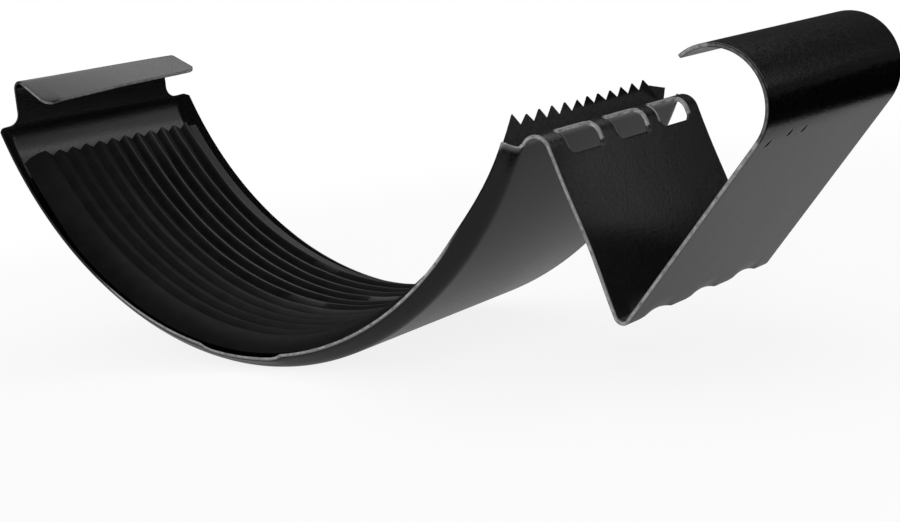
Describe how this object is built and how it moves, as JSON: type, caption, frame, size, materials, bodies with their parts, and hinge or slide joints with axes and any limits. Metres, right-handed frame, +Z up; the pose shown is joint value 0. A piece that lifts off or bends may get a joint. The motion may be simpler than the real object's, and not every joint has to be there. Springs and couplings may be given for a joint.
{
  "type": "gutter union",
  "caption": "Folded sheet-steel saddle with a ribbed rubber gasket, a hook flap at the back and a spring clip at the front, joining and sealing two half-round gutter ends.",
  "frame": {"origin": "the lowest point of the round seat, on the gasket's rib crests, half way along the gutter", "axes": "+Y along the gutter, +X to the front, where the bead and the clip are, +Z up"},
  "size_m": [0.189, 0.055, 0.0628],
  "materials": {
    "painted_sheet": "satin black coil paint with bare grey cut edges",
    "gasket_rubber": "matte black, moulded with pointed ribs"
  },
  "bodies": {
    "root": {"union_sheet": "painted_sheet", "gasket": "gasket_rubber"}
  },
  "joints": []
}
